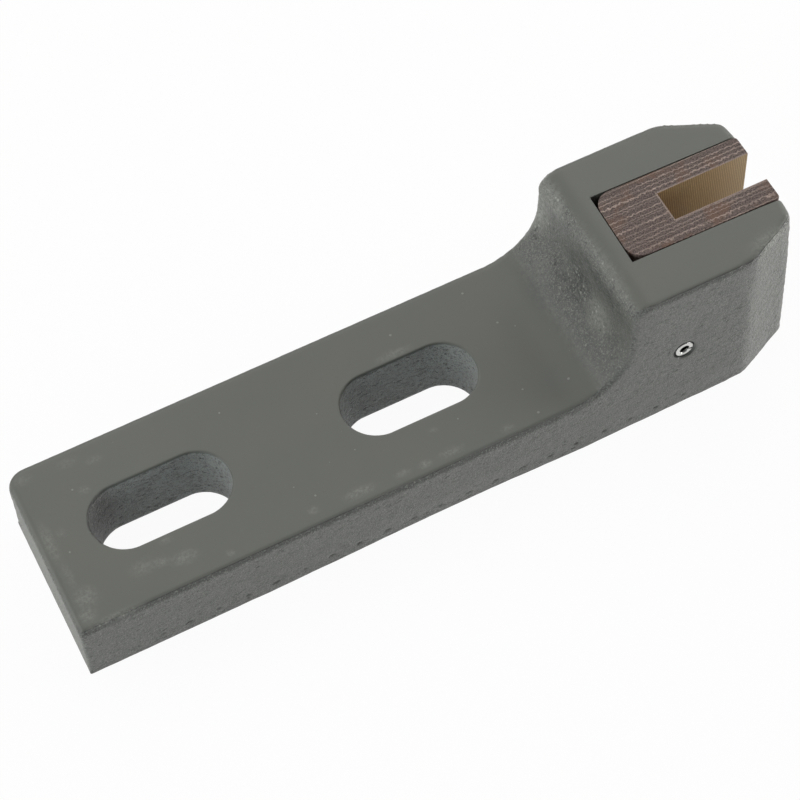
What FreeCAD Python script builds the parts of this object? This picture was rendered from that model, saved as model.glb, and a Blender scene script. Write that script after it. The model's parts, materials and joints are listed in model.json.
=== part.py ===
import FreeCAD, Part
import math
import os
import Sketcher

# Elevator guide shoe: a cast arm with two bolt slots and a raised head, a laminate guide
# insert let into the head, and the slotted spring pin that holds it there.
# Millimetres. The arm lies along X with its head at +X, and its flat foot is on Z = 0.
# X = 0 is half way along the casting and Y = 0 is its middle plane, which the guide rail's
# blade runs in, along Z.

SIZES = {
    # the casting's outline, measured at the foot
    "shoe_length": 200.0,
    "shoe_width": 51.0,
    "bar_thickness": 20.0,
    "head_height": 50.0,
    "head_length": 50.0,
    "nose_chamfer_length": 16.0,
    "nose_chamfer_depth": 8.0,
    # pattern draft of every outer wall, in degrees
    "draft_angle": 1.5,
    # the casting's rounded corners and edges
    "throat_radius": 17.0,
    "brow_radius": 5.5,
    "nose_corner_radius": 2.5,
    "shoulder_radius": 7.0,
    "far_end_corner_radius": 5.0,
    "near_end_corner_radius": 1.0,
    "top_edge_radius": 2.0,
    "foot_edge_radius": 0.6,
    # the two bolt slots
    "slot_width": 18.5,
    "slot_length": 38.0,
    "slot_count": 2,
    "slot_spacing": 68.0,
    "slot_end_distance": 32.5,
    "slot_rim_radius": 0.5,
    # the pocket in the head and the insert that fills it
    "pocket_depth": 42.5,
    "pocket_width": 22.0,
    "insert_side_clearance": 0.2,
    "insert_back_clearance": 0.3,
    "insert_length": 41.0,
    "insert_back_corner_radius": 4.0,
    "insert_front_corner_radius": 0.8,
    # the channel for the rail's blade
    "channel_width": 9.0,
    "channel_depth": 26.0,
    # the spring pin across the head
    "pin_diameter": 5.0,
    "pin_clearance": 0.02,
    "pin_wall": 1.2,
    "pin_slit": 0.9,
    "pin_height": 24.0,
    "pin_to_pocket_back": 8.0,
    "pin_end_recess": 0.3,
    "pin_end_chamfer": 0.3,
    "pin_hole_chamfer": 0.6,
}

# expressions that more than one sub-part uses
HALF_LENGTH = "Sizes.shoe_length / 2"
HEAD_BACK = "Sizes.shoe_length / 2 - Sizes.head_length"
POCKET_BACK = "Sizes.shoe_length / 2 - Sizes.pocket_depth"
PIN_PLACE = "Sizes.shoe_length / 2 - Sizes.pocket_depth + Sizes.pin_to_pocket_back"
SLOT_CENTRES = "Sizes.slot_length - Sizes.slot_width"
PIN_BORE = "Sizes.pin_diameter / 2 + Sizes.pin_clearance"

# the sketcher's numbers for its own origin and axis, and for the points of a line or an arc
ORIGIN = X_AXIS = -1
START, END, CENTRE = range(1, 4)

# Two places count as one when they are this near. A direction counts as being along an axis
# when it leans from it by less than the angle here, which leaves room for the draft.
NEAR_ZERO = 0.001
STRAIGHT = math.cos(math.radians(8))
UP = FreeCAD.Vector(0, 0, 1)

doc = FreeCAD.newDocument("guide_shoe")


# Sheet of driving dimensions

def make_sheet():
    """Write each size into the document's sheet, as a plain number with its name as alias."""
    sheet = doc.addObject("Spreadsheet::Sheet", "Sizes")
    for row, (name, value) in enumerate(SIZES.items(), start=1):
        sheet.set("A%d" % row, name)
        sheet.set("B%d" % row, str(value))
        sheet.setAlias("B%d" % row, name)
    doc.recompute()
    return sheet


# Helpers for bodies, sketches and features

def new_body(label):
    """Add a body whose label names its file."""
    body = doc.addObject("PartDesign::Body", label)
    body.Label = label
    return body


def origin_plane(body, role):
    """Return the body's own origin plane with this role."""
    for feature in body.Origin.OriginFeatures:
        if feature.Role == role:
            return feature
    raise RuntimeError("no origin plane " + role)


def new_sketch(body, name, role):
    """Add a sketch on one of the body's origin planes."""
    sketch = body.newObject("Sketcher::SketchObject", name)
    sketch.AttachmentSupport = (origin_plane(body, role), [""])
    sketch.MapMode = "FlatFace"
    return sketch


def point(x, y):
    return FreeCAD.Vector(x, y, 0)


def add_lines(sketch, corners):
    """Draw a closed outline of straight lines and join its corners."""
    count = len(corners)
    for i in range(count):
        start = point(*corners[i])
        end = point(*corners[(i + 1) % count])
        sketch.addGeometry(Part.LineSegment(start, end), False)
    for i in range(count):
        sketch.addConstraint(Sketcher.Constraint("Coincident", i, END, (i + 1) % count, START))


def level(sketch, *lines):
    """Make lines run along the sketch's horizontal axis."""
    for line in lines:
        sketch.addConstraint(Sketcher.Constraint("Horizontal", line))


def upright(sketch, *lines):
    """Make lines run along the sketch's vertical axis."""
    for line in lines:
        sketch.addConstraint(Sketcher.Constraint("Vertical", line))


def mirror_ends(sketch, one, other):
    """Keep two points opposite each other across the middle line."""
    sketch.addConstraint(Sketcher.Constraint("Symmetric", *one, *other, X_AXIS))


def sheet_value(expression):
    """Work out an expression on the sheet's sizes, so that a sketch starts at its true size."""
    return float(sheet.evalExpression(expression))


def bind(sketch, name, expression, *constraint):
    """Add a driving dimension and tie it to the sheet."""
    index = sketch.addConstraint(Sketcher.Constraint(*constraint, sheet_value(expression)))
    sketch.renameConstraint(index, name)
    sketch.setExpression("Constraints." + name, expression)


def settle(sketch):
    """Solve a sketch and make sure that its dimensions leave nothing loose."""
    doc.recompute()
    if sketch.solve() != 0 or not sketch.FullyConstrained:
        raise RuntimeError(sketch.Name + " isn't fully constrained")
    sketch.Visibility = False


def pad(body, name, sketch, length, side="One side"):
    """Raise a sketch to a solid of this length."""
    settle(sketch)
    feature = body.newObject("PartDesign::Pad", name)
    feature.Profile = sketch
    feature.SideType = side
    feature.setExpression("Length", length)
    doc.recompute()
    return feature


def cut_through(body, name, sketch):
    """Cut a sketch right through the body, to both sides of its plane."""
    settle(sketch)
    before = body.Shape.Volume
    feature = body.newObject("PartDesign::Pocket", name)
    feature.Profile = sketch
    feature.SideType = "Symmetric"
    feature.Type = "ThroughAll"
    doc.recompute()
    if body.Shape.Volume >= before:
        raise RuntimeError(name + " cuts nothing")
    return feature


def edges_where(base, test):
    """Name the edges of a feature that pass a test of the edge and its middle point."""
    names = []
    for number, edge in enumerate(base.Shape.Edges, start=1):
        middle = edge.valueAt((edge.FirstParameter + edge.LastParameter) / 2)
        if test(edge, middle):
            names.append("Edge%d" % number)
    if not names:
        raise RuntimeError("no edge found on " + base.Name)
    return names


def round_edges(body, name, base, test, radius):
    """Round the edges that pass a test, by a radius from the sheet."""
    feature = body.newObject("PartDesign::Fillet", name)
    feature.Base = (base, edges_where(base, test))
    feature.setExpression("Radius", radius)
    doc.recompute()
    return feature


def bevel_edges(body, name, base, test, size):
    """Bevel the edges that pass a test, by a size from the sheet."""
    feature = body.newObject("PartDesign::Chamfer", name)
    feature.Base = (base, edges_where(base, test))
    feature.setExpression("Size", size)
    doc.recompute()
    return feature


# The cast arm with its head

def draw_plan(sketch):
    """Draw the foot's outline: a long bar whose front corners are cut away to a nose."""
    half = sheet_value(HALF_LENGTH)
    side = sheet_value("Sizes.shoe_width / 2")
    shoulder = half - sheet_value("Sizes.nose_chamfer_length")
    nose = side - sheet_value("Sizes.nose_chamfer_depth")
    add_lines(sketch, [(-half, -side), (shoulder, -side), (half, -nose),
                       (half, nose), (shoulder, side), (-half, side)])
    level(sketch, 0, 4)
    mirror_ends(sketch, (0, START), (4, END))
    mirror_ends(sketch, (2, START), (2, END))
    sketch.addConstraint(Sketcher.Constraint("Vertical", 0, END, 4, START))
    bind(sketch, "half_length", HALF_LENGTH, "DistanceX", ORIGIN, START, 2, START)
    bind(sketch, "length", "Sizes.shoe_length", "DistanceX", 0, START, 2, START)
    bind(sketch, "width", "Sizes.shoe_width", "DistanceY", 0, START, 4, END)
    bind(sketch, "chamfer_length", "Sizes.nose_chamfer_length", "DistanceX", 1, START, 1, END)
    bind(sketch, "chamfer_depth", "Sizes.nose_chamfer_depth", "DistanceY", 1, START, 1, END)


def draw_waste(sketch):
    """Draw what stands over the bar, with the throat's round where the bar meets the head."""
    left = -sheet_value("Sizes.shoe_length")
    top = sheet_value("2 * Sizes.head_height")
    bar_top = sheet_value("Sizes.bar_thickness")
    head_back = sheet_value(HEAD_BACK)
    radius = sheet_value("Sizes.throat_radius")
    throat_start = point(head_back - radius, bar_top)
    throat_end = point(head_back, bar_top + radius)
    throat_round = Part.Circle(point(head_back - radius, bar_top + radius), UP, radius)
    sketch.addGeometry(Part.LineSegment(point(left, bar_top), throat_start), False)
    sketch.addGeometry(Part.ArcOfCircle(throat_round, -math.pi / 2, 0), False)
    sketch.addGeometry(Part.LineSegment(throat_end, point(head_back, top)), False)
    sketch.addGeometry(Part.LineSegment(point(head_back, top), point(left, top)), False)
    sketch.addGeometry(Part.LineSegment(point(left, top), point(left, bar_top)), False)
    sketch.addConstraint(Sketcher.Constraint("Tangent", 0, END, 1, START))
    sketch.addConstraint(Sketcher.Constraint("Tangent", 1, END, 2, START))
    sketch.addConstraint(Sketcher.Constraint("Coincident", 2, END, 3, START))
    sketch.addConstraint(Sketcher.Constraint("Coincident", 3, END, 4, START))
    sketch.addConstraint(Sketcher.Constraint("Coincident", 4, END, 0, START))
    level(sketch, 0, 3)
    upright(sketch, 2, 4)
    bind(sketch, "overrun", "Sizes.shoe_length", "DistanceX", 0, START, ORIGIN, START)
    bind(sketch, "bar_top", "Sizes.bar_thickness", "DistanceY", ORIGIN, START, 0, START)
    bind(sketch, "over_head", "2 * Sizes.head_height", "DistanceY", ORIGIN, START, 2, END)
    bind(sketch, "head_back", HEAD_BACK, "DistanceX", ORIGIN, START, 2, END)
    bind(sketch, "throat", "Sizes.throat_radius", "Radius", 1)


def draw_slot(sketch):
    """Draw the bolt slot nearer the bar's end: two straight sides between two half rounds."""
    middle = sheet_value("Sizes.slot_end_distance - Sizes.shoe_length / 2")
    radius = sheet_value("Sizes.slot_width / 2")
    left = middle - sheet_value(SLOT_CENTRES) / 2
    right = middle + sheet_value(SLOT_CENTRES) / 2
    right_round = Part.Arc(point(right, -radius), point(right + radius, 0), point(right, radius))
    left_round = Part.Arc(point(left, radius), point(left - radius, 0), point(left, -radius))
    sketch.addGeometry(Part.LineSegment(point(left, -radius), point(right, -radius)), False)
    sketch.addGeometry(right_round, False)
    sketch.addGeometry(Part.LineSegment(point(right, radius), point(left, radius)), False)
    sketch.addGeometry(left_round, False)
    for piece in range(4):
        sketch.addConstraint(Sketcher.Constraint("Tangent", piece, END, (piece + 1) % 4, START))
    level(sketch, 0, 2)
    sketch.addConstraint(Sketcher.Constraint("PointOnObject", 1, CENTRE, X_AXIS))
    bind(sketch, "radius", "Sizes.slot_width / 2", "Radius", 1)
    bind(sketch, "centres", SLOT_CENTRES, "DistanceX", 3, CENTRE, 1, CENTRE)
    bind(sketch, "place", HALF_LENGTH + " - Sizes.slot_end_distance + (" + SLOT_CENTRES + ") / 2",
         "DistanceX", 3, CENTRE, ORIGIN, START)


def draw_pocket(sketch):
    """Draw the head's pocket, square cornered and running out through the nose."""
    back = sheet_value(POCKET_BACK)
    front = sheet_value("Sizes.shoe_length")
    side = sheet_value("Sizes.pocket_width / 2")
    add_lines(sketch, [(back, -side), (front, -side), (front, side), (back, side)])
    level(sketch, 0, 2)
    upright(sketch, 1)
    mirror_ends(sketch, (0, START), (2, END))
    bind(sketch, "width", "Sizes.pocket_width", "DistanceY", 0, START, 2, END)
    bind(sketch, "back", POCKET_BACK, "DistanceX", ORIGIN, START, 0, START)
    bind(sketch, "overrun", "Sizes.shoe_length", "DistanceX", ORIGIN, START, 0, END)


def draw_pin_circle(sketch, radius):
    """Draw a circle on the spring pin's axis, which crosses the head behind the channel."""
    centre = point(sheet_value(PIN_PLACE), sheet_value("Sizes.pin_height"))
    sketch.addGeometry(Part.Circle(centre, UP, sheet_value(radius)), False)
    bind(sketch, "radius", radius, "Radius", 0)
    bind(sketch, "across", PIN_PLACE, "DistanceX", ORIGIN, START, 0, CENTRE)
    bind(sketch, "height", "Sizes.pin_height", "DistanceY", ORIGIN, START, 0, CENTRE)


def wall_faces(base):
    """Name the upright faces of a plain block."""
    names = []
    for number, face in enumerate(base.Shape.Faces, start=1):
        if abs(face.normalAt(0, 0).z) < NEAR_ZERO:
            names.append("Face%d" % number)
    return names


def middle_direction(edge):
    return edge.tangentAt((edge.FirstParameter + edge.LastParameter) / 2)


def is_upright(edge):
    """True for an edge that climbs straight up, or leans from that by no more than the draft."""
    return abs(middle_direction(edge).z) > STRAIGHT


def is_cross_edge(edge, middle):
    """True for an edge that crosses the casting from side to side, away from its two ends."""
    ends = sheet_value(HALF_LENGTH + " - Sizes.nose_chamfer_length / 2")
    return abs(middle_direction(edge).y) > STRAIGHT and abs(middle.x) < ends


def is_top_rim(edge, middle):
    """True for an edge that bounds the bar's top, the throat or the head at the outer walls."""
    if middle.z < sheet_value("Sizes.bar_thickness") - NEAR_ZERO or is_cross_edge(edge, middle):
        return False
    on_head_back = abs(middle.x - sheet_value(HEAD_BACK)) < NEAR_ZERO
    return on_head_back or not is_upright(edge)


def is_slot_rim(edge, middle):
    """True for an edge round the mouth of a bolt slot: it starts on one of the straight sides."""
    start = edge.valueAt(edge.FirstParameter)
    on_top = abs(start.z - sheet_value("Sizes.bar_thickness")) < NEAR_ZERO
    return on_top and abs(abs(start.y) - sheet_value("Sizes.slot_width / 2")) < NEAR_ZERO


def is_pin_mouth(edge, middle):
    """True for the outer rim of the pin hole: closed, and further out than the pocket's walls."""
    outside = abs(middle.y) > sheet_value("Sizes.pocket_width / 2") + NEAR_ZERO
    return edge.isClosed() and outside and middle.x > sheet_value(HEAD_BACK)


def drafted_block(body):
    """Make the whole outline at the head's full height, its walls leaning in and corners round."""
    plan = new_sketch(body, "plan", "XY_Plane")
    draw_plan(plan)
    block = pad(body, "block", plan, "Sizes.head_height")
    draft = body.newObject("PartDesign::Draft", "draft")
    draft.Base = (block, wall_faces(block))
    draft.NeutralPlane = (origin_plane(body, "XY_Plane"), [""])
    draft.setExpression("Angle", "Sizes.draft_angle")
    doc.recompute()
    if draft.Shape.Volume >= block.Shape.Volume:
        raise RuntimeError("the draft leans outwards")

    nose_start = sheet_value(HALF_LENGTH + " - Sizes.nose_chamfer_length / 2")

    def nose_corner(edge, middle):
        return is_upright(edge) and middle.x > nose_start

    def shoulder(edge, middle):
        return is_upright(edge) and 0 < middle.x < nose_start

    def far_end_corner(edge, middle):
        return is_upright(edge) and middle.x < 0 < middle.y

    def near_end_corner(edge, middle):
        return is_upright(edge) and middle.x < 0 and middle.y < 0

    nose = round_edges(body, "nose_corners", draft, nose_corner, "Sizes.nose_corner_radius")
    shoulders = round_edges(body, "shoulders", nose, shoulder, "Sizes.shoulder_radius")
    far_end = round_edges(body, "far_end", shoulders, far_end_corner, "Sizes.far_end_corner_radius")
    return round_edges(body, "near_end", far_end, near_end_corner, "Sizes.near_end_corner_radius")


def bolt_slots(body):
    """Cut the row of bolt slots and round their mouths."""
    slot = new_sketch(body, "slot", "XY_Plane")
    draw_slot(slot)
    first = cut_through(body, "first_slot", slot)
    row = body.newObject("PartDesign::LinearPattern", "slots")
    row.Originals = [first]
    row.Direction = (slot, ["H_Axis"])
    row.Mode = "Spacing"
    row.setExpression("Offset", "Sizes.slot_spacing")
    row.setExpression("Occurrences", "Sizes.slot_count")
    body.Tip = row
    doc.recompute()
    return round_edges(body, "slot_rims", row, is_slot_rim, "Sizes.slot_rim_radius")


def shoe_body():
    """Make the casting: block, throat, rounded edges, bolt slots, pocket and pin hole."""
    body = new_body("shoe_body")
    drafted_block(body)
    waste = new_sketch(body, "waste", "XZ_Plane")
    draw_waste(waste)
    arm = cut_through(body, "arm", waste)
    top = sheet_value("Sizes.head_height")

    def brow_edge(edge, middle):
        return is_cross_edge(edge, middle) and abs(middle.z - top) < NEAR_ZERO

    def foot_edge(edge, middle):
        return abs(middle.z) < NEAR_ZERO

    brow = round_edges(body, "brow", arm, brow_edge, "Sizes.brow_radius")
    rim = round_edges(body, "top_rim", brow, is_top_rim, "Sizes.top_edge_radius")
    round_edges(body, "foot_rim", rim, foot_edge, "Sizes.foot_edge_radius")
    bolt_slots(body)

    pocket = new_sketch(body, "pocket_outline", "XY_Plane")
    draw_pocket(pocket)
    cut_through(body, "pocket", pocket)
    circle = new_sketch(body, "pin_circle", "XZ_Plane")
    draw_pin_circle(circle, PIN_BORE)
    hole = cut_through(body, "pin_hole", circle)
    bevel_edges(body, "pin_mouths", hole, is_pin_mouth, "Sizes.pin_hole_chamfer")
    return body


# The laminate guide insert

def draw_insert(sketch):
    """Draw the insert seen from above: a block with the rail's channel open to the front."""
    back = sheet_value(POCKET_BACK + " + Sizes.insert_back_clearance")
    front = back + sheet_value("Sizes.insert_length")
    channel_end = front - sheet_value("Sizes.channel_depth")
    side = sheet_value("Sizes.pocket_width / 2 - Sizes.insert_side_clearance")
    cheek = sheet_value("Sizes.channel_width / 2")
    add_lines(sketch, [(back, -side), (front, -side), (front, -cheek), (channel_end, -cheek),
                       (channel_end, cheek), (front, cheek), (front, side), (back, side)])
    level(sketch, 0, 2, 4, 6)
    upright(sketch, 1, 5)
    mirror_ends(sketch, (0, START), (6, END))
    mirror_ends(sketch, (3, START), (3, END))
    sketch.addConstraint(Sketcher.Constraint("Vertical", 0, END, 6, START))
    bind(sketch, "back", POCKET_BACK + " + Sizes.insert_back_clearance",
         "DistanceX", ORIGIN, START, 0, START)
    bind(sketch, "length", "Sizes.insert_length", "DistanceX", 0, START, 0, END)
    bind(sketch, "width", "Sizes.pocket_width - 2 * Sizes.insert_side_clearance",
         "DistanceY", 0, START, 6, END)
    bind(sketch, "channel_width", "Sizes.channel_width", "DistanceY", 3, START, 3, END)
    bind(sketch, "channel_depth", "Sizes.channel_depth", "DistanceX", 2, END, 2, START)


def guide_insert():
    """Make the insert, as tall as the head, with its outer corners rounded and its pin hole."""
    body = new_body("guide_insert")
    outline = new_sketch(body, "insert_outline", "XY_Plane")
    draw_insert(outline)
    block = pad(body, "insert_block", outline, "Sizes.head_height")
    cheek = sheet_value("Sizes.channel_width / 2")
    web_end = sheet_value(PIN_PLACE)

    def back_corner(edge, middle):
        return is_upright(edge) and middle.x < web_end

    def front_corner(edge, middle):
        outer = abs(middle.y) > cheek + NEAR_ZERO
        return is_upright(edge) and middle.x > web_end and outer

    back = round_edges(body, "back_corners", block, back_corner, "Sizes.insert_back_corner_radius")
    round_edges(body, "front_corners", back, front_corner, "Sizes.insert_front_corner_radius")
    circle = new_sketch(body, "insert_pin_circle", "XZ_Plane")
    draw_pin_circle(circle, PIN_BORE)
    cut_through(body, "insert_pin_hole", circle)
    return body


# The slotted spring pin

def draw_slit(sketch):
    """Draw the slit that lets the pin spring: from the bore out through the wall, towards +X."""
    inner = sheet_value(PIN_PLACE)
    outer = inner + sheet_value("Sizes.pin_diameter")
    middle = sheet_value("Sizes.pin_height")
    half = sheet_value("Sizes.pin_slit / 2")
    add_lines(sketch, [(inner, middle - half), (outer, middle - half),
                       (outer, middle + half), (inner, middle + half)])
    level(sketch, 0, 2)
    upright(sketch, 1, 3)
    bind(sketch, "inner", PIN_PLACE, "DistanceX", ORIGIN, START, 0, START)
    bind(sketch, "overrun", "Sizes.pin_diameter", "DistanceX", 0, START, 0, END)
    bind(sketch, "width", "Sizes.pin_slit", "DistanceY", 0, START, 2, END)
    bind(sketch, "height", "Sizes.pin_height - Sizes.pin_slit / 2", "DistanceY", ORIGIN, START, 0, START)


def spring_pin():
    """Make the pin: a rolled tube with a slit, its ends bevelled and just below the walls."""
    body = new_body("spring_pin")
    outer = new_sketch(body, "pin_outline", "XZ_Plane")
    draw_pin_circle(outer, "Sizes.pin_diameter / 2")
    rod = pad(body, "pin_rod", outer,
              "Sizes.shoe_width - 2 * Sizes.pin_height * tan(Sizes.draft_angle * 1 deg)"
              " - 2 * Sizes.pin_end_recess", side="Symmetric")

    def rod_end(edge, middle):
        return edge.isClosed()

    bevel_edges(body, "pin_ends", rod, rod_end, "Sizes.pin_end_chamfer")
    bore = new_sketch(body, "pin_bore_outline", "XZ_Plane")
    draw_pin_circle(bore, "Sizes.pin_diameter / 2 - Sizes.pin_wall")
    cut_through(body, "pin_bore", bore)
    slit = new_sketch(body, "pin_slit_outline", "XZ_Plane")
    draw_slit(slit)
    cut_through(body, "pin_slit", slit)
    return body


# Build, check and write

def check_document(parts):
    """Stop if any object of the document failed or any sub-part isn't a sound solid."""
    for thing in doc.Objects:
        if "Invalid" in thing.State or "Error" in thing.State:
            raise RuntimeError(thing.Name + " failed")
    for part in parts:
        if part.Shape.isNull() or not part.Shape.isValid() or len(part.Shape.Solids) != 1:
            raise RuntimeError(part.Label + " isn't one sound solid")


def write_parts(parts):
    """Write each sub-part to its own file."""
    os.makedirs("parts", exist_ok=True)
    for part in parts:
        part.Shape.exportStep("parts/" + part.Label + ".step")
        print(part.Label, "volume", round(part.Shape.Volume, 1), "mm3")


sheet = make_sheet()
parts = [shoe_body(), guide_insert(), spring_pin()]
doc.recompute()
check_document(parts)
write_parts(parts)
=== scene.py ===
import functools
import json
import math

import bpy
import numpy as np
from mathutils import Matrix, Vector

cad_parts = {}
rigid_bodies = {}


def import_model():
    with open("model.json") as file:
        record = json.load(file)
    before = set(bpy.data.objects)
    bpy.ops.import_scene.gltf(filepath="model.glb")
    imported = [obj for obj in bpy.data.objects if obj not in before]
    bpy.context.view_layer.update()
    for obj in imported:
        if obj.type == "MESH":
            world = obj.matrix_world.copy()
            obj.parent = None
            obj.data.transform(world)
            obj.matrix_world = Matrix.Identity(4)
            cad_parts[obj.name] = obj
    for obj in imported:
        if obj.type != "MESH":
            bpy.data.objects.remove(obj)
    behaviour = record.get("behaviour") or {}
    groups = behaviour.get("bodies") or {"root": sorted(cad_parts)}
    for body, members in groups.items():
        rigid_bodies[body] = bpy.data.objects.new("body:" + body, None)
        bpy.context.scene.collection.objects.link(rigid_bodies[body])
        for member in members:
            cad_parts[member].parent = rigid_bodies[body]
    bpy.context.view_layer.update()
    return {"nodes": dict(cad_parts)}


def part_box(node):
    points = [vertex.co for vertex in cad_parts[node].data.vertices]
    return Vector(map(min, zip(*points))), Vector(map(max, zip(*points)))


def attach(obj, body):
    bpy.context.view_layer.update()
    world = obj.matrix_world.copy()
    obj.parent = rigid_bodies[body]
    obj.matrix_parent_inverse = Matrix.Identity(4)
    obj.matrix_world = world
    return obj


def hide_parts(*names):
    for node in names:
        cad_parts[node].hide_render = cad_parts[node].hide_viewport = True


bl_info = {
    "name": "Sliding Guide Shoe",
    "version": (1, 0, 0),
    "blender": (4, 5, 0),
    "location": "View3D > Sidebar > Guide Shoe",
    "description": "Sand-cast body, laminate insert and spring pin of a guide shoe, on a studio floor",
    "category": "Mesh",
}

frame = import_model()

MM = 0.001
BODY = "root"

# Places and sizes on the shoe, in millimetres and degrees, as the solids have them
BAR_TOP = 20.0
HEAD_TOP = 50.0
HEAD_BACK = 50.0
NOSE_CORNER_X = 84.0
NOSE_FRONT_X = 98.3
NOSE_FRONT_Y = 16.9
SIDE_Y = 25.5
END_X = -100.0
DRAFT = 1.5
FOOT_ROUND = 0.6
POCKET_BACK = 57.5
POCKET_HALF_WIDTH = 11.0
SLOT_CENTRES = (-67.5, 0.5)
SLOT_STRAIGHT = 9.75
SLOT_RADIUS = 9.25
PIN_X = 65.5
PIN_Z = 24.0
PIN_WALL = 1.2
CHANNEL_BACK = 72.8
CHANNEL_HALF_WIDTH = 4.5

# Where this one casting, insert and pin depart a little from them
POCKET_TURN = -0.9
POCKET_TURN_X = 78.0
SLOT_END_PULLS = ((0.55, 0.5), (0.85, 0.55))
NEAR_RIM_TIGHTER = 0.5
NEAR_RIM_TIGHTER_ON_HEAD = 0.4
FAR_RIM_FULLER = 0.12
FAR_RIM_FULLER_ON_HEAD = 0.28
HEAD_SIDE_FULLER = 0.3
HEAD_BACK_FULLER = 0.45
HEAD_BACK_FULLER_BELOW = 0.3
NOSE_TOP_FULLER = 0.5
LOW_CORNER_FULLER = (0.3, 0.15)
TOP_CORNER_LESS = 0.35
INSERT_PLAY = 0.15
INSERT_BACK_RADIUS = 4.6
INSERT_FRONT_RADIUS = 0.8
PIN_SLIT = 0.45
PIN_BORE_RADIUS = 1.35
# How far from the pin's middle the painted shade in its bore reaches
BORE_SHADE_START = 23.9
# Where the painted shadow round the mouth of the pin's hole is centred, from the pin's axis
MOUTH_LIFT = 0.5
MOUTH_SHIFT = 0.35

# A row of shallow tool marks runs along both long sides, just above the foot
MARK_START = -88.0
MARK_PITCH = 7.69
MARK_COUNT = 21
MARK_HEIGHT = 3.2
MARK_HALF_LENGTH = 1.15
MARK_HALF_HEIGHT = 0.60
MARK_DEPTH = 0.35

# How far the foot's long edges lie inside the drawing's line, in millimetres: place along X, drift
FOOT_EDGE_DRIFT = ((-100, 0.0), (-72, 0.0), (-50, 0.02), (-30, 0.25), (-5, 0.60), (15, 0.50),
                   (37, 0.05), (60, 0.28), (80, 0.45), (100, 0.0))

# How fine the even faces are, as the Remesh modifier counts it, and the facets round the pin's bore
CASTING_REMESH_DEPTH = 8
INSERT_REMESH_DEPTH = 7
PIN_FACETS = 96

# Vertices nearer than this are one, in metres, and edges that turn by less are shaded smooth
SAME_PLACE = 0.001 * MM
SMOOTH_ANGLE = math.radians(38)

# What the casting's vertices tell its material
SKIN_VALUES = ("sand", "scuff", "grime", "mark", "thin", "slot")

# Sockets of the Mix node that blend two colours
MIX_FACTOR = 0
MIX_A = 6
MIX_B = 7
MIX_RESULT = 2


def linear(hex_colour):
    """Linear RGB of an sRGB hex colour."""
    channels = [int(hex_colour[i:i + 2], 16) / 255 for i in (0, 2, 4)]
    return tuple(c / 12.92 if c <= 0.04045 else ((c + 0.055) / 1.055) ** 2.4 for c in channels)


def opaque(colour):
    """A colour property as the four values that a colour socket takes."""
    return (*colour, 1.0)


def add_node(tree, kind, settings):
    """Add one shader node with its settings and links. A capital or a number names an input, which
    takes a value, a socket, or a node that stands for its first output."""
    node = tree.nodes.new("ShaderNode" + kind)
    for name, value in settings.items():
        if isinstance(value, bpy.types.Node):
            value = value.outputs[0]
        if isinstance(value, bpy.types.NodeSocket):
            tree.links.new(value, node.inputs[name])
        elif isinstance(name, int) or name[0].isupper():
            node.inputs[name].default_value = value
        else:
            setattr(node, name, value)
    return node


def empty_nodes(owner):
    """Empty the nodes of a material or the world. What comes back adds nodes there."""
    owner.use_nodes = True
    owner.node_tree.nodes.clear()
    return functools.partial(add_node, owner.node_tree)


def new_material(name):
    """An empty node material, and what adds nodes to it."""
    material = bpy.data.materials.new(name)
    return material, empty_nodes(material)


def millimetres(add):
    """Object coordinates in millimetres, so that every pattern's scale is read off in millimetres."""
    place = add("TexCoord", {}).outputs["Object"]
    return add("Mapping", {"Vector": place, "Scale": (1 / MM,) * 3})


def smooth_step(low, high, value):
    """0 at low, 1 at high, and a smooth slope between, for an array."""
    t = np.clip((value - low) / (high - low), 0, 1)
    return t * t * (3 - 2 * t)


def select_only(piece):
    """Leave edit mode, deselect everything, then select one piece and make it active."""
    if bpy.context.mode != "OBJECT":
        bpy.ops.object.mode_set(mode="OBJECT")
    bpy.ops.object.select_all(action="DESELECT")
    piece.select_set(True)
    bpy.context.view_layer.objects.active = piece


def edit_mesh(piece, kind):
    """Enter edit mode with nothing selected, where one kind of element is picked."""
    select_only(piece)
    bpy.ops.object.mode_set(mode="EDIT")
    bpy.ops.mesh.select_mode(type=kind)
    bpy.ops.mesh.select_all(action="DESELECT")


def on_whole_mesh(operator, **settings):
    """Run an edit-mode operator on the whole of the mesh that is being edited."""
    bpy.ops.mesh.select_all(action="SELECT")
    operator(**settings)


def select_edges(piece, wanted):
    """Select the edges whose two ends, in millimetres, are wanted, and leave the piece in edit mode."""
    edit_mesh(piece, "EDGE")
    bpy.ops.object.mode_set(mode="OBJECT")
    for edge in piece.data.edges:
        start, end = (piece.data.vertices[i].co / MM for i in edge.vertices)
        edge.select = wanted(start, end)
    bpy.ops.object.mode_set(mode="EDIT")


def select_faces(piece, wanted):
    """Select the faces whose middle, in millimetres, is wanted, and leave the piece in edit mode."""
    edit_mesh(piece, "FACE")
    bpy.ops.object.mode_set(mode="OBJECT")
    for face in piece.data.polygons:
        face.select = wanted(face.center / MM)
    bpy.ops.object.mode_set(mode="EDIT")


def set_origin(piece):
    """Leave the piece's place in its mesh, with its object at the origin, unturned and unscaled."""
    select_only(piece)
    bpy.ops.object.transform_apply(location=True, rotation=True, scale=True)


def vertex_places(mesh):
    """Places in millimetres and normals of a mesh's vertices."""
    places = np.empty(len(mesh.vertices) * 3)
    normals = np.empty(len(mesh.vertices) * 3)
    mesh.vertices.foreach_get("co", places)
    mesh.vertex_normals.foreach_get("vector", normals)
    return places.reshape(-1, 3) / MM, normals.reshape(-1, 3)


def set_group(piece, name, weights):
    """A vertex group with one weight for each vertex."""
    group = piece.vertex_groups.new(name=name)
    for index in np.nonzero(weights > 0.001)[0]:
        group.add([int(index)], float(weights[index]), "REPLACE")


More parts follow.
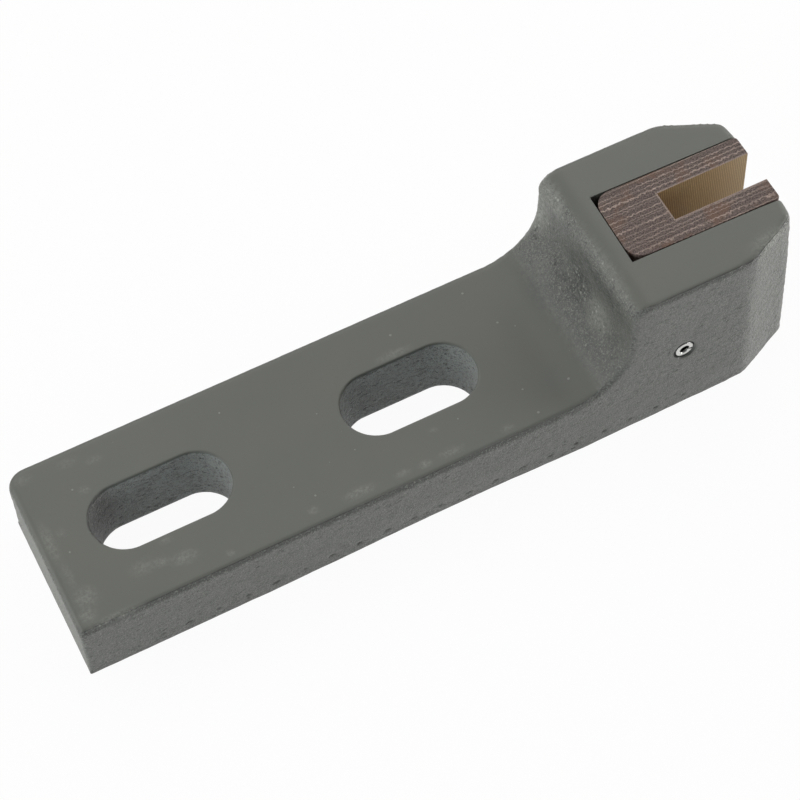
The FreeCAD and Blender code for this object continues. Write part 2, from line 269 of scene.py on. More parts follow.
def set_attribute(mesh, name, values):
    """A value for each vertex that the materials read."""
    attribute = mesh.attributes.new(name, "FLOAT", "POINT")
    attribute.data.foreach_set("value", values.astype(np.float32))


def apply_modifier(piece, name, kind, **settings):
    """Add one modifier with its settings and apply it."""
    modifier = piece.modifiers.new(name, kind)
    for setting, value in settings.items():
        setattr(modifier, setting, value)
    select_only(piece)
    bpy.ops.object.modifier_apply(modifier=name)


def displace(piece, name, weights, texture, strength, middle=0.0, direction="NORMAL"):
    """Push the surface by a texture, as far as each vertex's weight lets it. At the texture's middle
    level it stays."""
    set_group(piece, name, weights)
    apply_modifier(piece, name, "DISPLACE", texture=texture, texture_coords="LOCAL",
                   direction=direction, mid_level=middle, strength=strength, vertex_group=name)
    piece.vertex_groups.clear()


def clouds(name, size, depth):
    """Soft noise with lumps of the given size in metres."""
    texture = bpy.data.textures.new(name, "CLOUDS")
    texture.noise_scale = size
    texture.noise_depth = depth
    texture.noise_basis = "IMPROVED_PERLIN"
    return texture


def apply_sharp_remesh(piece, depth):
    """Even quads of one size all over, with the solid's sharp edges kept."""
    apply_modifier(piece, "even_faces", "REMESH", mode="SHARP", octree_depth=depth, scale=0.99,
                   sharpness=1.0, use_remove_disconnected=False)


def split_faces_round(piece, chosen):
    """Split the faces that meet the chosen edges."""
    mesh = piece.data
    for group in (mesh.vertices, mesh.polygons):
        group.foreach_set("select", np.zeros(len(group), dtype=bool))
    mesh.edges.foreach_set("select", chosen)
    select_only(piece)
    bpy.ops.object.mode_set(mode="EDIT")
    bpy.ops.mesh.select_mode(type="EDGE")
    bpy.ops.mesh.select_more(use_face_step=True)
    bpy.ops.mesh.subdivide(number_cuts=1, ngon=False, quadcorner="INNERVERT")
    bpy.ops.mesh.select_all(action="DESELECT")
    bpy.ops.object.mode_set(mode="OBJECT")


def edge_middles(mesh):
    """Middles of a mesh's edges, in millimetres, as one array for each axis."""
    ends = np.empty(len(mesh.edges) * 2, dtype=np.int32)
    mesh.edges.foreach_get("vertices", ends)
    places, _ = vertex_places(mesh)
    return places[ends.reshape(-1, 2)].mean(axis=1).T


def refine_sharp_turns(piece, angle, wanted):
    """Split the faces round the edges that turn by more than an angle, where their place is wanted."""
    edit_mesh(piece, "EDGE")
    bpy.ops.mesh.edges_select_sharp(sharpness=math.radians(angle))
    bpy.ops.object.mode_set(mode="OBJECT")
    turning = np.empty(len(piece.data.edges), dtype=bool)
    piece.data.edges.foreach_get("select", turning)
    split_faces_round(piece, turning & wanted(*edge_middles(piece.data)))


def apply_shrinkwrap(piece, target):
    """Lay the vertices back on the solid's surface."""
    apply_modifier(piece, "on_the_solid", "SHRINKWRAP", wrap_method="NEAREST_SURFACEPOINT",
                   target=target)


def merge_flat_faces(piece):
    """Merge the even faces where nothing shapes them: inside the foot and on the pocket's walls."""
    def unshaped(centre):
        in_foot = centre.z < 0.01 and abs(centre.y) < 18 and abs(centre.x) < 90
        in_pocket = POCKET_BACK - 0.1 < centre.x < 96 and abs(centre.y) < POCKET_HALF_WIDTH + 0.1
        return in_foot or (in_pocket and 1 < centre.z < HEAD_TOP - 1)
    select_faces(piece, unshaped)
    bpy.ops.mesh.dissolve_limited(angle_limit=math.radians(0.5))
    bpy.ops.mesh.select_all(action="DESELECT")
    bpy.ops.object.mode_set(mode="OBJECT")


def off_channel(x, y):
    """1 on the insert's outer walls and 0 at its channel, which was milled square."""
    return np.maximum(smooth_step(5.0, 10.0, np.abs(y)), smooth_step(72.0, 62.0, x))


def put_vertices(piece, places):
    """Move a piece's vertices to places in millimetres."""
    piece.data.vertices.foreach_set("co", (places * MM).ravel())
    piece.data.update()


def side_inset(x, y, z):
    """How far each place lies in from the nearer long side, at its own height."""
    drafted = SIDE_Y - z * math.tan(math.radians(DRAFT))
    return drafted - np.maximum(x - NOSE_CORNER_X, 0) / 2 - np.abs(y)


def tighten_rims(piece):
    """Draw the top rim's round tighter along the near side, most of all on the head, and a little
    fuller along the far one. The head's near side is fuller towards its top."""
    places, normals = vertex_places(piece.data)
    x, y, z = places.T
    on_head = smooth_step(BAR_TOP + 2, BAR_TOP + 10, z)
    on_rim = smooth_step(3.5, 1.9, side_inset(x, y, z))
    near_rim = on_rim * (y < 0) * smooth_step(0.6, 1.0, normals[:, 2])
    far_rim = on_rim * (y > 0) * smooth_step(0.1, 0.4, normals[:, 2])
    places[:, 1] -= ((NEAR_RIM_TIGHTER + NEAR_RIM_TIGHTER_ON_HEAD * on_head) * near_rim
                     + (FAR_RIM_FULLER + FAR_RIM_FULLER_ON_HEAD * on_head) * far_rim)
    near_head = smooth_step(-15.0, -20.0, y) * smooth_step(BAR_TOP + 5, HEAD_TOP, z)
    places[:, 1] -= HEAD_SIDE_FULLER * near_head * smooth_step(HEAD_BACK + 2, HEAD_BACK + 8, x)
    put_vertices(piece, places)


def sharpen_foot(piece):
    """Fill the foot's small round out to a sharp edge, along both long sides and the end."""
    places, _ = vertex_places(piece.data)
    x, y, z = places.T
    low = z < FOOT_ROUND + 0.02
    drawn, wanted = (0.0, 0.65, 1.65), (0.05, 0.08, 1.65)
    from_side = side_inset(x, y, z)
    outward = np.where(low & (from_side < 1.65), from_side - np.interp(from_side, drawn, wanted), 0)
    places[:, 1] += np.sign(y) * outward
    from_end = x - END_X
    endward = np.where(low & (from_end < 1.65), from_end - np.interp(from_end, drawn, wanted), 0)
    places[:, 0] -= endward
    put_vertices(piece, places)


def fill_head(piece):
    """Fill the head out where the casting is fuller than its draft gives: the nose's top, its front
    corners lower down, and the far end of the head's back. The front corners' tops are less full."""
    places, _ = vertex_places(piece.data)
    x, y, z = places.T
    places[:, 0] += NOSE_TOP_FULLER * (z / HEAD_TOP) ** 2 * smooth_step(88.0, 97.0, x)
    corner = smooth_step(6.0, 1.0, np.hypot(x - NOSE_FRONT_X, np.abs(y) - NOSE_FRONT_Y))
    low_corner = corner * smooth_step(46.0, 25.0, z)
    forwards, sideways = LOW_CORNER_FULLER
    places[:, 0] += forwards * low_corner - TOP_CORNER_LESS * corner * smooth_step(44.0, 49.0, z)
    places[:, 1] += np.sign(y) * sideways * low_corner
    back = smooth_step(14.0, 24.0, y) * smooth_step(20.0, 30.0, z) * smooth_step(56.0, 51.0, x)
    places[:, 0] -= (HEAD_BACK_FULLER + HEAD_BACK_FULLER_BELOW * smooth_step(42.0, 34.0, z)) * back
    put_vertices(piece, places)


def turn_pocket(piece, share):
    """Turn the pocket, or the insert in it, a little out of square, as it was milled."""
    places, _ = vertex_places(piece.data)
    x, y, z = places.T
    outside = np.hypot(np.maximum(POCKET_BACK - x, 0), np.maximum(np.abs(y) - POCKET_HALF_WIDTH, 0))
    turn = math.radians(POCKET_TURN) * smooth_step(6.0, 0.0, outside) * share(x, y)
    places[:, 0] -= turn * y * smooth_step(96.0, 88.0, x)
    places[:, 1] += turn * (x - POCKET_TURN_X)
    put_vertices(piece, places)


def round_nose_corners(piece):
    """Ease the nose's upright edges, where the sides turn in and where the front begins."""
    places, _ = vertex_places(piece.data)
    x, y, z = places.T
    near_side = smooth_step(5.5, 1.0, np.hypot(x - NOSE_CORNER_X, np.abs(y) - SIDE_Y + 0.6))
    near_front = smooth_step(8.0, 1.0, np.hypot(x - NOSE_FRONT_X, np.abs(y) - NOSE_FRONT_Y))
    rounder = 0.12 + 0.88 * smooth_step(28.0, 48.0, z)
    set_group(piece, "nose_corners", rounder * np.maximum(near_side, near_front))
    apply_modifier(piece, "eased", "SMOOTH", factor=0.5, iterations=60, use_z=False,
                   vertex_group="nose_corners")
    piece.vertex_groups.clear()


def keep_in_box(piece, box):
    """Bring what the relief left outside the box of the solid back on to it."""
    places, _ = vertex_places(piece.data)
    put_vertices(piece, np.clip(places, np.array(box[0]) / MM, np.array(box[1]) / MM))


def slot_distance(x, y):
    """How far a place lies outside the nearer slot's wall, seen from above. Inside it is negative."""
    away = []
    for centre, (left, right) in zip(SLOT_CENTRES, SLOT_END_PULLS):
        beyond = np.maximum(centre - SLOT_STRAIGHT + left - x, x - centre - SLOT_STRAIGHT + right)
        away.append(np.hypot(np.maximum(beyond, 0), y))
    return np.minimum(*away) - SLOT_RADIUS


def near_slot_rim(x, y, z):
    """The slots' upper rims."""
    return (np.abs(slot_distance(x, y)) < 1.2) & (z > BAR_TOP - 1.5) & (z < BAR_TOP + 1)


def foot_marks(x, y, z):
    """How deep each place lies in one of the tool marks along the foot. No two marks are quite alike."""
    rng = np.random.default_rng(7)
    depths = rng.uniform(0.55, 1.0, MARK_COUNT)
    depths[:3] *= (0.35, 0.6, 1.0)
    shifts = rng.uniform(-0.3, 0.3, MARK_COUNT)
    lifts = rng.uniform(-0.25, 0.25, MARK_COUNT)
    lengths = rng.uniform(0.75, 1.25, MARK_COUNT)
    index = np.clip(np.round((x - MARK_START) / MARK_PITCH).astype(int), 0, MARK_COUNT - 1)
    along = (x - MARK_START - MARK_PITCH * index - shifts[index]) / (MARK_HALF_LENGTH * lengths[index])
    up = (z - MARK_HEIGHT - lifts[index]) / MARK_HALF_HEIGHT
    inside = smooth_step(1.15, 0.35, np.hypot(along, up))
    return inside * depths[index] * (np.abs(y) > SIDE_Y - 2)


def near_pin(x, y, z):
    """The mouths of the pin's hole, in both sides of the head."""
    return (np.hypot(x - PIN_X, z - PIN_Z) < 4.0) & (np.abs(y) > 20)


def true_slot_ends(piece):
    """Make the slots' ends truly round, because the solid's mesh gives them as flats, and pull them in
    a little, as the casting has them."""
    places, _ = vertex_places(piece.data)
    for centre, pulls in zip(SLOT_CENTRES, SLOT_END_PULLS):
        for side, pull in zip((-1, 1), pulls):
            middle = np.array([centre + side * SLOT_STRAIGHT, 0.0])
            offset = places[:, :2] - middle
            radius = np.hypot(offset[:, 0], offset[:, 1])
            angle = np.arctan2(offset[:, 1], offset[:, 0] * side)
            beyond = offset[:, 0] * side > 0
            inside = (places[:, 2] > 1.0) & (places[:, 2] < BAR_TOP - 1.0)
            wall = beyond & inside & (np.abs(radius - SLOT_RADIUS) < 0.35)
            order = np.argsort(angle[wall])
            flats = np.interp(angle, angle[wall][order], radius[wall][order])
            near = smooth_step(SLOT_RADIUS + 1.5, SLOT_RADIUS + 0.7, radius) * beyond
            stretch = 1 + (SLOT_RADIUS / flats - 1) * near
            places[:, :2] = middle + offset * stretch[:, None]
            around = smooth_step(SLOT_RADIUS + 5, SLOT_RADIUS + 0.7, radius)
            places[:, 0] -= side * pull * around * smooth_step(-5.0, 4.0, offset[:, 0] * side)
    put_vertices(piece, places)


# Painted casting: grey alkyd primer brushed over sand-cast iron. The sand leaves a grain of about a
# millimetre with small pits on every wall. The tops are ground or pressed smooth before painting.
# To the eye it is a soft, slightly uneven sheen, dusty where it was handled. Painted shade, shadow,
# light and highlight lie in its colour in places.
def painted_casting_material(settings):
    material, add = new_material("grey_paint_on_sand_cast_iron")
    place = millimetres(add)
    sand, scuff, grime, mark, thin, slot = [
        add("Attribute", {"attribute_name": name}).outputs["Fac"] for name in SKIN_VALUES]
    grain_scale = MM / settings.grain_size
    grain_depth = settings.grain_depth / MM

    # Rounded grains, finer grit between them, the brushed paint's skin and its drift over some
    # centimetres, dust, and dashes along X
    grains = add("TexNoise", {"Vector": place, "Scale": grain_scale, "Detail": 3.0, "Roughness": 0.6,
                              "Distortion": 0.3})
    long_place = add("Mapping", {"Vector": place, "Scale": (0.3, 1.0, 1.0)})
    grit, paint_skin, drift, dust_flecks, dashes = [
        add("TexNoise", {"Vector": where, "Scale": scale, "Detail": detail, "Roughness": roughness})
        for where, scale, detail, roughness in (
            (place, grain_scale * 3.1, 2.0, 0.6),
            (place, 0.9, 4.0, 0.65),
            (place, 0.05, 3.0, 0.5),
            (place, 0.9, 8.0, 0.78),
            (long_place, grain_scale * 1.6, 3.0, 0.6))]

    # Open pits, bright grains and specks lie in cells, and only the cells picked by their colour
    # have one. The pits' cells are long and crooked.
    crooked = add("TexNoise", {"Vector": place, "Scale": 0.8, "Detail": 3.0})
    crooked_place = add("VectorMath", {"operation": "MULTIPLY_ADD", 0: crooked.outputs["Color"],
                                       1: (1.6,) * 3, 2: place})
    pit_place = add("Mapping", {"Vector": crooked_place, "Scale": (0.5, 1.0, 1.0)})
    pit_cells, bright_cells, speck_cells = [
        add("TexVoronoi", {"Vector": where, "Scale": scale})
        for where, scale in ((pit_place, grain_scale * 0.8), (place, 0.95), (place, 0.27))]
    pit_pick, bright_pick, speck_pick = [
        add("SeparateColor", {"Color": cells.outputs["Color"]}).outputs[channel]
        for cells, channel in ((pit_cells, "Red"), (bright_cells, "Green"), (speck_cells, "Red"))]

    # What the patterns amount to: the two levels of each, and the amounts that they stand for
    height_up = add("SeparateXYZ", {"Vector": place}).outputs["Z"]
    # The grit's low spots are darkened and its high spots lightened, a painted shade and highlight of
    # its relief
    (pit_limit, thicker, slot_patches, hollow, grit_low_shade, grit_high_highlight, mark_shade, streaks, fleck_amount,
     bright_radius, speck_radius, grains_here) = [
        add("MapRange", {"Value": pattern, "From Min": low, "From Max": high, "To Min": least,
                         "To Max": most})
        for pattern, low, high, least, most in (
            (height_up, 0.5, 7.0, 0.45, 0.74),
            (drift, 0.3, 0.7, 0.0, 1.0),
            (paint_skin, 0.36, 0.60, 0.35, 1.0),
            (dashes, 0.43, 0.31, 0.0, 1.0),
            (grit, 0.46, 0.32, 0.0, 0.62),
            (grit, 0.53, 0.68, 0.0, 0.60),
            (mark, 0.15, 0.60, 0.0, 0.85),
            (grains, 0.62, 0.40, 0.25, 0.9),
            (dust_flecks, 0.42, 0.66, 0.06, 0.60),
            (bright_pick, 0.52, 1.0, 0.0, 0.42),
            (speck_pick, 0.55, 1.0, 0.0, 0.10),
            (sand, 0.0, 1.0, 0.35, 1.0))]

    # Relief, in millimetres
    pits = add("MapRange", {"Value": pit_cells, "interpolation_type": "SMOOTHSTEP", "From Min": 0.30,
                            "From Max": 0.12})
    pit_here = add("Math", {"operation": "GREATER_THAN", 0: pit_pick, 1: pit_limit})
    for share in (pit_here, sand):
        pits = add("Math", {"operation": "MULTIPLY", 0: pits, 1: share})
    grain_height = add("Math", {"operation": "MULTIPLY", 0: grains, 1: grain_depth * 0.6})
    grit_height = add("Math", {"operation": "MULTIPLY_ADD", 0: grit, 1: grain_depth * 0.55,
                               2: grain_height})
    wall_height = add("Math", {"operation": "MULTIPLY", 0: grit_height, 1: sand})
    pit_height = add("Math", {"operation": "MULTIPLY_ADD", 0: pits, 1: -0.22, 2: wall_height})
    height = add("Math", {"operation": "MULTIPLY_ADD", 0: paint_skin, 1: 0.027, 2: pit_height})
    bump = add("Bump", {"Height": height, "Distance": MM})

    # Darkening: dark dashes of tone on the walls, and painted shade in the pits, in the grit's low
    # spots, in the tool marks, in the patches of shade and rubbed-in dirt, and on the top rims' round.
    # The slots' walls have more of it than the other walls.
    slot_or_wall = add("Math", {"operation": "MULTIPLY_ADD", 0: slot, 1: 0.5, 2: sand})
    # Painted light: cooler, lighter patches on the slot walls
    slot_light_amount = add("Math", {"operation": "MULTIPLY", 0: slot, 1: slot_patches})
    hollow_full = add("Math", {"operation": "MULTIPLY", 0: hollow, 1: slot_or_wall})
    dark_tone_and_shade = add("Math", {"operation": "MINIMUM", 0: hollow_full, 1: 0.72})
    shades = [mark_shade]
    # Painted shade in the pits, the grit's low spots, the shade patches and the rims' round
    for pattern, share in ((pits, 0.7), (grit_low_shade, sand), (streaks, grime), (thin, 0.5)):
        shades.append(add("Math", {"operation": "MULTIPLY", 0: pattern, 1: share}))
    for shade in shades:
        dark_tone_and_shade = add("Math", {"operation": "MAXIMUM", 0: dark_tone_and_shade, 1: shade})

    # Painted shadow: near black round the mouth of the pin's hole, most of all above it
    mouth = (PIN_X - MOUTH_SHIFT, 0.0, PIN_Z + MOUTH_LIFT)
    from_mouth = add("VectorMath", {"operation": "SUBTRACT", 0: place, 1: mouth})
    flattened = add("VectorMath", {"operation": "MULTIPLY", 0: from_mouth, 1: (1.0, 0.0, 1.0)})
    mouth_radius = add("VectorMath", {"operation": "LENGTH", 0: flattened}).outputs["Value"]
    mouth_shade = add("MapRange", {"Value": mouth_radius, "interpolation_type": "SMOOTHSTEP",
                                   "From Min": 3.25, "From Max": 2.9, "To Max": 0.95})

    # Light: dust and bright grains where the casting was rubbed, with painted highlight in some of those
    # patches, painted glints and grit in the shaded patches, the tops' few specks, and painted highlight
    # on the walls' high grit
    bright_grains = add("Math", {"operation": "LESS_THAN", 0: bright_cells, 1: bright_radius})
    grain_amount = add("Math", {"operation": "MULTIPLY", 0: bright_grains, 1: grains_here})
    dust_and_highlight = add("Math", {"operation": "MAXIMUM", 0: fleck_amount, 1: grain_amount})
    scuff_here = add("Math", {"operation": "MULTIPLY_ADD", 0: sand, 1: 0.45, 2: 1.0})
    for share in (scuff, scuff_here):
        dust_and_highlight = add("Math", {"operation": "MULTIPLY", 0: dust_and_highlight, 1: share})
    # Painted glints: bright grains in the patches of shade and grime
    grit_and_glints = add("Math", {"operation": "MULTIPLY", 0: grain_amount, 1: grime})
    specks = add("Math", {"operation": "LESS_THAN", 0: speck_cells, 1: speck_radius})
    for pattern, share in ((grit_and_glints, 0.6), (specks, 0.5), (grit_high_highlight, slot_or_wall)):
        light = add("Math", {"operation": "MULTIPLY", 0: pattern, 1: share})
        dust_and_highlight = add("Math", {"operation": "MAXIMUM", 0: dust_and_highlight, 1: light})

    # The layers of colour, from the thin paint up, with how much of each shows. The slot layer is
    # painted light, the dark layer is partly painted shade, the mouth layer is painted shadow, and the
    # dust layer is partly painted highlight. Dust, painted highlight and the painted mouth shadow are
    # dull.
    colour = opaque(settings.paint_thin)
    for layer, amount in ((settings.paint_thick, thicker), (settings.wall_colour, sand),
                          (settings.slot_light_colour, slot_light_amount), (settings.hollow_and_shade_colour, dark_tone_and_shade),
                          (settings.mouth_shadow_colour, mouth_shade), (settings.dust_and_highlight_colour, dust_and_highlight)):
        colour = add("Mix", {"data_type": "RGBA", MIX_FACTOR: amount, MIX_A: colour,
                             MIX_B: opaque(layer)}).outputs[MIX_RESULT]
    roughness = add("MapRange", {"Value": dust_and_highlight, "To Min": 0.42, "To Max": 0.75})
    dulled = add("Math", {"operation": "MAXIMUM", 0: roughness, 1: mouth_shade})
    shader = add("BsdfPrincipled", {"IOR": 1.55, "Base Color": colour, "Roughness": dulled,
                                    "Normal": bump})
    add("OutputMaterial", {"Surface": shader})
    return material


# Laminate, plies edge-on: cotton cloth in phenolic resin, sawn and milled across its layers. Each
# ply shows as a pale wavy line of cut threads in dark resin.
def laminate_edge_material(settings):
    material, add = new_material("cut_plies_of_cotton_phenolic")
    place = millimetres(add)
    axes = add("SeparateXYZ", {"Vector": place})
    across = axes.outputs["Y"]
    pitch = settings.ply_pitch / MM
    wave = settings.thread_wave / MM
    wander, ragged, patchy, short_threads, filling, blotch = [
        add("TexNoise", {"Vector": place, "Scale": scale, "Detail": detail, "Roughness": roughness})
        for scale, detail, roughness in ((0.35, 2.0, 0.5), (1.2, 4.0, 0.7), (0.25, 2.0, 0.5),
                                         (2.2, 2.0, 0.5), (2.6, 2.0, 0.6), (0.17, 3.0, 0.5))]

    # The plies' pitch drifts, and each has its own phase, so no two lines run alike
    pitch_drift = add("TexNoise", {"noise_dimensions": "1D", "W": across, "Scale": 0.35, "Detail": 1.0})
    drifted_y = add("Math", {"operation": "MULTIPLY_ADD", 0: pitch_drift, 1: 3.0, 2: across})
    ply = add("Math", {"operation": "DIVIDE", 0: drifted_y, 1: pitch})
    ply_number = add("Math", {"operation": "FLOOR", 0: ply})
    ply_random = add("TexWhiteNoise", {"noise_dimensions": "1D", "W": ply_number})
    phase = add("Math", {"operation": "MULTIPLY", 0: ply_random, 1: wave})
    drifted = add("Math", {"operation": "MULTIPLY_ADD", 0: wander, 1: 3.0, 2: phase})
    zigzags = []
    for axis in "XZ":
        along = add("Math", {"operation": "ADD", 0: axes.outputs[axis], 1: drifted})
        zigzags.append(add("Math", {"operation": "PINGPONG", 0: along, 1: wave / 2}))
    zigzag = add("Math", {"operation": "ADD", 0: zigzags[0], 1: zigzags[1]})
    waved = add("Math", {"operation": "MULTIPLY_ADD", 0: zigzag, 1: 0.30, 2: drifted_y})
    waved_ragged = add("Math", {"operation": "MULTIPLY_ADD", 0: ragged, 1: 0.9, 2: waved})
    in_ply = add("Math", {"operation": "PINGPONG", 0: waved_ragged, 1: pitch / 2})
    line = add("MapRange", {"Value": in_ply, "interpolation_type": "SMOOTHSTEP", "From Min": 0.24,
                            "From Max": 0.06})

    # Lines differ in strength, fade along their way and break into short threads
    line_place = add("Math", {"operation": "MULTIPLY_ADD", 0: waved_ragged, 1: 1 / pitch, 2: 0.5})
    line_number = add("Math", {"operation": "FLOOR", 0: line_place})
    line_random = add("TexWhiteNoise", {"noise_dimensions": "1D", "W": line_number})
    strength, fade, broken_line, mottle, blotch_amount = [
        add("MapRange", {"Value": pattern, "From Min": low, "From Max": high, "To Min": least,
                         "To Max": most})
        for pattern, low, high, least, most in (
            (line_random, 0.0, 1.0, 0.50, 1.0),
            (patchy, 0.36, 0.58, 0.55, 1.0),
            (short_threads, 0.36, 0.52, 0.40, 1.0),
            (filling, 0.40, 0.60, 0.0, 1.0),
            (blotch, 0.50, 0.68, 0.0, 0.7))]
    for share in (strength, fade, broken_line):
        line = add("Math", {"operation": "MULTIPLY", 0: line, 1: share})

    # The milled rim of the channel lifts pale fibres
    side = add("Math", {"operation": "ABSOLUTE", 0: across})
    rim_gap = add("Math", {"operation": "SUBTRACT", 0: side, 1: CHANNEL_HALF_WIDTH})
    fray = add("MapRange", {"Value": rim_gap, "interpolation_type": "SMOOTHSTEP", "From Min": 0.65,
                            "From Max": 0.15})
    past_end = add("Math", {"operation": "GREATER_THAN", 0: axes.outputs["X"], 1: CHANNEL_BACK - 0.4})
    for share in (past_end, broken_line, 0.6):
        fray = add("Math", {"operation": "MULTIPLY", 0: fray, 1: share})
    pale = add("Math", {"operation": "MAXIMUM", 0: line, 1: fray})

    # Between the lines the cut filling threads mottle the resin, which is warmer brown in places
    colour = opaque(settings.resin_dark)
    for layer, amount in ((settings.filling_colour, mottle), (settings.resin_warm, blotch_amount),
                          (settings.thread_colour, pale)):
        colour = add("Mix", {"data_type": "RGBA", MIX_FACTOR: amount, MIX_A: colour,
                             MIX_B: opaque(layer)}).outputs[MIX_RESULT]
    bump = add("Bump", {"Height": pale, "Distance": 0.05 * MM})
    shader = add("BsdfPrincipled", {"IOR": 1.5, "Roughness": 0.62, "Base Color": colour,
                                    "Normal": bump})
    add("OutputMaterial", {"Surface": shader})
    return material


# Laminate, ply face-on: the walls of the channel lie along one ply, so the eye sees golden resin
# over cloth, with the upright ribs of the weave and the cutter.
def laminate_face_material(settings):
    material, add = new_material("milled_face_of_cotton_phenolic")
    place = millimetres(add)
    along = add("SeparateXYZ", {"Vector": place}).outputs["X"]
    ribs = add("TexWave", {
        "Vector": place, "wave_type": "BANDS", "bands_direction": "X", "wave_profile": "SIN",
        "Scale": 0.32 / (settings.rib_pitch / MM), "Distortion": 1.1, "Detail": 2.0,
        "Detail Scale": 1.6, "Detail Roughness": 0.6}).outputs["Fac"]
    weave = add("TexNoise", {"Vector": place, "Scale": 1.6, "Detail": 4.0, "Roughness": 0.7})
    ribs_weave = add("Math", {"operation": "MULTIPLY", 0: ribs, 1: weave})
    amount = add("MapRange", {"Value": ribs_weave, "From Min": 0.05, "From Max": 0.60})
    # Painted light: the channel's walls grow lighter towards its open front end
    painted_light_to_front = add("MapRange", {"Value": along, "From Min": CHANNEL_BACK, "From Max": CHANNEL_BACK + 26.0,
                            "To Max": 0.35})
    total = add("Math", {"operation": "ADD", "use_clamp": True, 0: amount, 1: painted_light_to_front})
    colour = add("Mix", {"data_type": "RGBA", MIX_FACTOR: total, MIX_A: opaque(settings.face_dark),
                         MIX_B: opaque(settings.face_pale)}).outputs[MIX_RESULT]
    bump = add("Bump", {"Height": ribs_weave, "Distance": 0.05 * MM})
    shader = add("BsdfPrincipled", {"IOR": 1.5, "Roughness": 0.5, "Base Color": colour, "Normal": bump})
    add("OutputMaterial", {"Surface": shader})
    return material


# Spring steel: rolled bright strip. To the eye it is a pale metal with faint lines along the pin.
def spring_steel_material(settings):
    material, add = new_material("bright_rolled_spring_steel")
    place = millimetres(add)
    stretched = add("Mapping", {"Vector": place, "Scale": (4.0, 0.25, 4.0)})
    rolling = add("TexNoise", {"Vector": stretched, "Scale": 1.0, "Detail": 3.0})
    roughness = add("MapRange", {"Value": rolling, "From Min": 0.3, "From Max": 0.7, "To Min": 0.22,
                                 "To Max": 0.38})
    bump = add("Bump", {"Height": rolling, "Strength": 0.5, "Distance": 0.02 * MM})

    # Painted shade: the bore is coloured near black, short of its two ends, so it looks black
    from_axis = add("VectorMath", {"operation": "SUBTRACT", 0: place, 1: (PIN_X, 0.0, PIN_Z)})
    flattened = add("VectorMath", {"operation": "MULTIPLY", 0: from_axis, 1: (1.0, 0.0, 1.0)})
    radius = add("VectorMath", {"operation": "LENGTH", 0: flattened}).outputs["Value"]
    in_bore = add("Math", {"operation": "LESS_THAN", 0: radius, 1: PIN_BORE_RADIUS})
    across = add("SeparateXYZ", {"Vector": place}).outputs["Y"]
    from_middle = add("Math", {"operation": "ABSOLUTE", 0: across})
    deep = add("Math", {"operation": "LESS_THAN", 0: from_middle, 1: BORE_SHADE_START})
    painted_bore_shade = add("Math", {"operation": "MULTIPLY", 0: in_bore, 1: deep})
    colour = add("Mix", {"data_type": "RGBA", MIX_FACTOR: painted_bore_shade, MIX_A: opaque(settings.steel_colour),
                         MIX_B: opaque(settings.bore_shade_colour)}).outputs[MIX_RESULT]
    shader = add("BsdfPrincipled", {"Metallic": 1.0, "Base Color": colour, "Roughness": roughness,
                                    "Normal": bump})
    add("OutputMaterial", {"Surface": shader})
    return material


# Paper sweep: matt white card. Camera and mirror rays see it near white, and its shadow stays.
def floor_material(settings):
    material, add = new_material("white_paper_sweep")
    card = add("BsdfDiffuse", {"Color": opaque(settings.floor_colour)})
    glow = add("Emission", {"Color": (1.0, 1.0, 1.0, 1.0), "Strength": 1.0})
    rays = add("LightPath", {}).outputs
    seen = rays["Is Camera Ray"]
    for kind in ("Is Glossy Ray", "Is Transmission Ray"):
        seen = add("Math", {"operation": "MAXIMUM", 0: seen, 1: rays[kind]})
    whiten = add("Math", {"operation": "MULTIPLY", 0: seen, 1: settings.floor_whiteness})
    mixed = add("MixShader", {0: whiten, 1: card, 2: glow})
    add("OutputMaterial", {"Surface": mixed})
    return material


# What all lengths and all colours have in common
LENGTH = {"precision": 5, "unit": "LENGTH"}
COLOUR = {"size": 3, "min": 0.0, "max": 1.0, "subtype": "COLOR"}


class CastingSettings(bpy.types.PropertyGroup):
    """Sizes and colours of the casting's skin"""
    grain_size: bpy.props.FloatProperty(
        name="Grain size", description="Width of a grain that the sand left", default=1.3 * MM,
        min=0.3 * MM, max=5 * MM, **LENGTH)
    grain_depth: bpy.props.FloatProperty(
        name="Grain depth", description="Depth of the fine grain", default=0.50 * MM,
        min=0.0, max=1 * MM, **LENGTH)
    relief_size: bpy.props.FloatProperty(
        name="Lump size", description="Width of the lumps modelled in the mesh", default=2.2 * MM,
        min=1 * MM, max=10 * MM, **LENGTH)
    relief_depth: bpy.props.FloatProperty(
        name="Lump depth", description="Depth of the lumps modelled in the mesh", default=0.42 * MM,
        min=0.0, max=2 * MM, **LENGTH)
    foot_waviness: bpy.props.FloatProperty(
        name="Foot waviness", description="How far the foot's edge wanders inwards",
        default=0.3 * MM, min=0.0, max=2 * MM, **LENGTH)
    paint_thin: bpy.props.FloatVectorProperty(
        name="Thin paint", description="Paint where it is thin", default=linear("65665f"), **COLOUR)
    paint_thick: bpy.props.FloatVectorProperty(
        name="Thick paint", description="Paint where it is thick", default=linear("62645f"), **COLOUR)
    wall_colour: bpy.props.FloatVectorProperty(
        name="Walls", description="Paint on the sand-cast walls", default=linear("6b6c67"), **COLOUR)
    # Painted cool light on the slot walls
    slot_light_colour: bpy.props.FloatVectorProperty(
        name="Slot walls", description="Painted cool light on the slot walls", default=linear("9ca3a1"),
        **COLOUR)
    # Dark tone of the dashes, and the painted shade of the pits, grit, tool marks, shade patches and
    # rims
    hollow_and_shade_colour: bpy.props.FloatVectorProperty(
        name="Hollows", description="Dark tone, and painted shade in pits and hollows", default=linear("3d3f3c"), **COLOUR)
    # Painted shadow round the mouth of the pin's hole
    mouth_shadow_colour: bpy.props.FloatVectorProperty(
        name="Painted mouth shadow", description="Painted shadow round the mouth of the pin's hole",
        default=linear("131312"), **COLOUR)
    # Dust, and painted highlight and reflection
    dust_and_highlight_colour: bpy.props.FloatVectorProperty(
        name="Dust", description="Dust, rubbed paint and painted highlight", default=linear("a0a19a"), **COLOUR)


